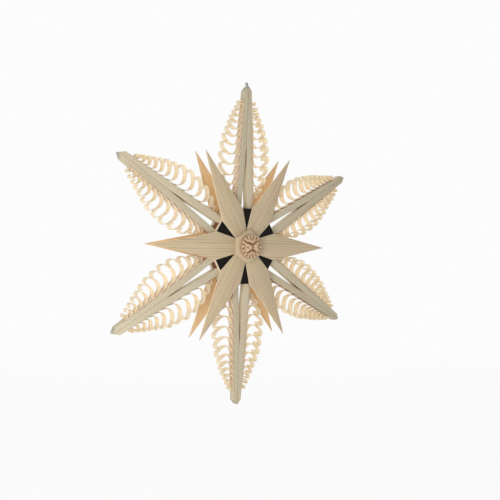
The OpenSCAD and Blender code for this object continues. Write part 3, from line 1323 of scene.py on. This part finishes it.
@dataclass
class Rosette:
    """The carved blossom on the front cap: four heart-shaped leaves that run into a scalloped rim.

    The carving's sizes are millimetres on the disc and shares of its height and of its painted shade.
    """

    star: StarFrame
    node: str = "rosette"
    wall: float = 1.5 * MM
    rim_margin: float = 0.05 * MM
    crease: float = math.radians(60)
    figure: Point = (11.0, 37.0)
    crevices: tuple[tuple[Point, ...], ...] = (
        ((-4.4, 2.7), (-1.8, 2.1), (0.4, 1.2)),
        ((3.5, 3.5), (1.7, 2.1), (0.4, 1.2)),
        ((0.4, 1.2), (0.7, -0.4), (0.3, -2.0)),
        ((-3.3, -4.1), (-1.3, -2.7), (0.3, -2.0)),
        ((3.3, -3.6), (1.6, -2.4), (0.3, -2.0)),
    )
    crevice: float = 0.6
    crevice_round: float = 1.5
    # Width in millimetres of the painted shade along the crevices
    crevice_shade: float = 0.42
    pits: tuple[Point, ...] = ((-0.9, 4.4), (-3.7, -0.6), (0.5, -4.4), (4.0, 0.3))
    pit_size: float = 0.45
    pit_depth: float = 0.5
    # Share of painted shade in the pits
    pit_shade_share: float = 0.8
    leaf_end: float = 5.8
    leaf_notch: float = 0.14
    notch_width: float = 0.2
    leaf_round: int = 4
    leaf_low: float = 0.8
    leaf_rise: float = 0.2
    leaf_fade: int = 4
    lobe_count: int = 16
    lobe_ring: float = 6.3
    lobe_size: float = 1.4
    lobe_height: float = 0.55
    lobe_fade: int = 2
    rim_pit: float = 0.5
    floor_height: float = 0.3
    # Painted shade on the floor round the leaves; wall_shade is the wall's painted shade
    floor_shade_share: float = 0.3
    wall_shade: float = 0.42
    rings: int = 60
    spokes: int = 192

    def to_crevice(self, place: Vector) -> float:
        """Measures from a place on the disc to the nearest crevice between leaves.

        Args:
            place: Millimetres to the right of the rosette's middle and up from it.

        Returns:
            The distance in millimetres.
        """
        gaps = []
        for line in self.crevices:
            for first, second in zip(line, line[1:]):
                start, run = Vector(first), Vector(second) - Vector(first)
                share = clamp((place - start).dot(run) / run.length_squared)
                gaps.append((place - start - run * share).length)
        return min(gaps)

    def carve(self, place: Vector) -> tuple[float, float]:
        """Works out the height of the carving and the depth of its colour at a place on the disc.

        Args:
            place: Millimetres to the right of the rosette's middle and up from it.

        Returns:
            The height as a share of the tallest leaf's, and the share of painted shade.
        """
        radius = place.length
        angle = math.atan2(place.y, place.x)
        end = self.leaf_end * (1 - self.leaf_notch * hill(off_middle(angle, QUARTER), self.notch_width))
        inside = 1 - (radius / end) ** self.leaf_round
        height, shade_share = self.floor_height, self.floor_shade_share
        if inside > 0:
            gap = self.to_crevice(place)
            pit = max(hill((place - Vector(p)).length, self.pit_size) for p in self.pits)
            dome = math.sqrt(inside) * (1 - math.exp(-((gap / self.crevice) ** self.crevice_round)))
            leaf = dome * (self.leaf_low + self.leaf_rise * radius / end) - self.pit_depth * pit
            height = max(height, leaf)
            # Painted shade in the crevices and pits, and down the leaves' edges to the floor
            rim_shade_share = self.floor_shade_share * (1 - inside) ** self.leaf_fade
            shade_share = max(hill(gap, self.crevice_shade), self.pit_shade_share * pit, rim_shade_share)
        step = math.tau / self.lobe_count
        swing = off_middle(angle, step)
        past = radius - self.lobe_ring
        inside = 1 - (past**2 + (swing * self.lobe_ring) ** 2) / self.lobe_size**2
        if inside > 0:
            lobe = self.lobe_height * math.sqrt(inside)
            if lobe > height:
                # Painted shade towards the lobe's edge
                height, shade_share = lobe, self.floor_shade_share * (1 - inside) ** self.lobe_fade
        beside = (step / 2 - abs(swing)) * self.lobe_ring
        # Painted shade in the pits between the rim's lobes
        pit = hill(math.hypot(past, beside), self.rim_pit)
        return height * (1 - pit), max(shade_share, pit)

    def build(self) -> BMesh:
        """Spins the disc and carves its face.

        Returns:
            Its mesh, in the star's frame.
        """
        low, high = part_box(self.node)
        radius = (high.x - low.x) / 2
        crest = high.y - low.y - self.wall
        bm = bmesh.new()
        profile = [(radius * k / self.rings, -self.wall, 0.0) for k in range(self.rings + 1)]
        profile += [(radius, 0.0, 0.0), (0.0, 0.0, 0.0)]
        verts = [bm.verts.new(p) for p in profile]
        edges = [bm.edges.new(pair) for pair in zip(verts, verts[1:])]
        spin(bm, verts + edges, (0, 0, 0), (0, 1, 0), math.tau, self.spokes)
        bmesh.ops.remove_doubles(bm, verts=bm.verts, dist=MERGE)
        mark = bm.verts.layers.float.new(PAINTED_LIGHT_MARK)
        # Writes the carving's painted shade, and the wall's painted shade, into the mark
        for vert in bm.verts:
            out = math.hypot(vert.co.x, vert.co.z)
            if vert.co.y < -self.wall / 2 and out < radius - self.rim_margin:
                height, shade_share = self.carve(Vector((vert.co.x, vert.co.z)) / MM)
                vert.co.y -= height * crest
                vert[mark] = shade_share
            else:
                vert[mark] = self.wall_shade
        lay_grain(bm, lambda p: p.z, lambda p: p.x + p.y, self.figure)
        bmesh.ops.translate(bm, verts=bm.verts, vec=(self.star.middle.x, high.y, self.star.middle.z))
        bmesh.ops.recalc_face_normals(bm, faces=bm.faces)
        return bm

    def dress(self, wardrobe: Wardrobe) -> None:
        """Builds the rosette and gives it its wood."""
        wood = [wardrobe.get(Finish.BLOSSOM)]
        make_piece(self.build(), "carved_rosette", wood, [self.node], self.crease)


@dataclass
class HangingEye:
    """The wire eye in the point of the top ray, with its shank in the wood."""

    node: str = "hanging_eye"
    wire: float = 0.6 * MM
    shank: float = 0.5 * MM
    ring_steps: int = 40
    wire_steps: int = 12

    def build(self) -> BMesh:
        """Spins the ring and adds the shank.

        Returns:
            The mesh, in the star's frame.
        """
        low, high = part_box(self.node)
        ring = high.z - SKIN - self.wire / 2
        bm = bmesh.new()
        bmesh.ops.create_circle(bm, cap_ends=False, segments=self.wire_steps, radius=self.wire / 2)
        bmesh.ops.translate(bm, verts=bm.verts, vec=(ring, 0.0, 0.0))
        spin(bm, bm.verts[:] + bm.edges[:], (0, 0, 0), (0, 1, 0), math.tau, self.ring_steps)
        length = -ring - low.z
        bmesh.ops.create_cone(
            bm, cap_ends=True, segments=self.wire_steps, radius1=self.shank / 2, radius2=self.shank / 2,
            depth=length, matrix=Matrix.Translation((0.0, 0.0, low.z + length / 2)),
        )
        bmesh.ops.recalc_face_normals(bm, faces=bm.faces)
        return bm

    def dress(self, wardrobe: Wardrobe) -> None:
        """Builds the eye and gives it its steel."""
        make_piece(self.build(), "wire_eye", [wardrobe.get(Finish.WIRE)], [self.node])


def view_back(azimuth: float, elevation: float) -> Vector:
    """Unit vector from the star to a viewer: degrees round from the front to the right, and up."""
    a, e = math.radians(azimuth), math.radians(elevation)
    return Vector((math.sin(a) * math.cos(e), -math.cos(a) * math.cos(e), math.sin(e)))


@dataclass(frozen=True)
class SoftLamp:
    """A square soft lamp that faces the middle of the star."""

    name: str
    azimuth: float
    elevation: float
    distance: float
    width: float
    watts: float

    def light(self, target: Vector) -> None:
        """Sets the lamp up.

        Args:
            target: Point that the lamp faces.
        """
        data = bpy.data.lights.new(self.name, "AREA")
        data.energy = self.watts
        data.size = self.width
        lamp = add_object(self.name, data)
        back = view_back(self.azimuth, self.elevation)
        lamp.location = target + back * self.distance
        lamp.rotation_euler = back.to_track_quat("Z", "Y").to_euler()


@dataclass
class Studio:
    """The floor, the white surround, the lamps and the camera."""

    star: StarFrame
    azimuth: float = -37.6
    elevation: float = 1.4
    roll: float = 2.09
    distance: float = 422.3 * MM
    aim_x: float = 7.38 * MM
    aim_z: float = -2.43 * MM
    focal_pixels: float = 664.0
    frame_pixels: float = 500.0
    sensor: float = 36.0
    nearest: float = 10.0 * MM
    floor_drop: float = 30.0 * MM
    floor_size: float = 12.0
    floor_paint: float = 0.9
    floor_white: float = 0.93
    fade_start: float = 0.12
    fade_end: float = 0.5
    white: float = 0.975
    ambient: float = 0.42

    def camera(self) -> None:
        """Sets up the camera at the photograph's angle."""
        data = bpy.data.cameras.new("portrait")
        data.sensor_width = self.sensor
        data.lens = self.sensor * self.focal_pixels / self.frame_pixels
        data.clip_start = self.nearest
        back = view_back(self.azimuth, self.elevation)
        right = Vector((0.0, 0.0, 1.0)).cross(back).normalized()
        up = back.cross(right)
        tilt = math.radians(self.roll)
        rolled_right = right * math.cos(tilt) + up * math.sin(tilt)
        rolled_up = up * math.cos(tilt) - right * math.sin(tilt)
        axes = Matrix((rolled_right, rolled_up, back)).transposed().to_4x4()
        aim = self.star.middle + Vector((self.aim_x, 0.0, self.aim_z))
        camera = add_object("portrait", data)
        camera.matrix_world = Matrix.Translation(aim + back * self.distance) @ axes
        bpy.context.scene.camera = camera

    def floor(self) -> None:
        """Lays the pale floor under the star, near white to look at but with the star's shadow."""
        bm = bmesh.new()
        bmesh.ops.create_grid(bm, x_segments=1, y_segments=1, size=self.floor_size)
        drop = self.star.middle.z - self.star.ray_tip - self.floor_drop
        bmesh.ops.translate(bm, verts=bm.verts, vec=(0.0, 0.0, drop))
        mesh = make_mesh("floor", bm)
        sheet = ShaderSheet(bpy.data.materials.new("pale_floor"))
        paint = sheet.add("BsdfDiffuse", Color=grey(self.floor_paint)).outputs[0]
        white = sheet.add("Emission", Color=grey(self.white), Strength=1.0).outputs[0]
        where = sheet.add("TexCoord").outputs["Object"]
        away = sheet.add("VectorMath", {"operation": "LENGTH"}, Vector=where).outputs["Value"]
        fade = sheet.ramp(away, self.fade_start, self.fade_end)
        share = sheet.maths("MULTIPLY", sheet.seen(), sheet.maths("MAXIMUM", fade, self.floor_white))
        mesh.materials.append(sheet.finish(sheet.mix(share, paint, white)))
        add_object("floor", mesh)

    def surround(self) -> None:
        """Makes the world white to look at and softer as light."""
        sheet = ShaderSheet(bpy.data.worlds.new("white_surround"))
        light = sheet.add("Background", Color=grey(1.0), Strength=self.ambient).outputs[0]
        white = sheet.add("Background", Color=grey(self.white), Strength=1.0).outputs[0]
        bpy.context.scene.world = sheet.finish(sheet.mix(sheet.seen(), light, white))

    def lamps(self) -> None:
        """Hangs the lamps: a soft front light, and a broad one behind that shines through thin wood."""
        for lamp in (
            SoftLamp("front_light", azimuth=-52.0, elevation=-4.0, distance=0.36, width=0.18, watts=0.62),
            SoftLamp("back_light", azimuth=150.0, elevation=30.0, distance=0.8, width=0.8, watts=4.6),
        ):
            lamp.light(self.star.middle)

    def prepare(self) -> None:
        """Sets up the whole studio."""
        bpy.context.scene.view_settings.view_transform = "Standard"
        self.camera()
        self.floor()
        self.surround()
        self.lamps()


def main() -> None:
    """Builds the star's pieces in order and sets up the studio."""
    logging.basicConfig(level=logging.INFO)
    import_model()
    star = StarFrame.read()
    wardrobe = Wardrobe()
    numbers = range(1, RAY_COUNT + 1)
    for number in numbers:
        for side in Side:
            ShavedStick(star, number, side).dress(wardrobe)
    for face in Face:
        for number in numbers:
            Petal(star, number, face).dress(wardrobe)
    HubCore(star).dress(wardrobe)
    Hub(star).dress(wardrobe)
    Rosette(star).dress(wardrobe)
    HangingEye().dress(wardrobe)
    Studio(star).prepare()


if __name__ == "__main__":
    main()
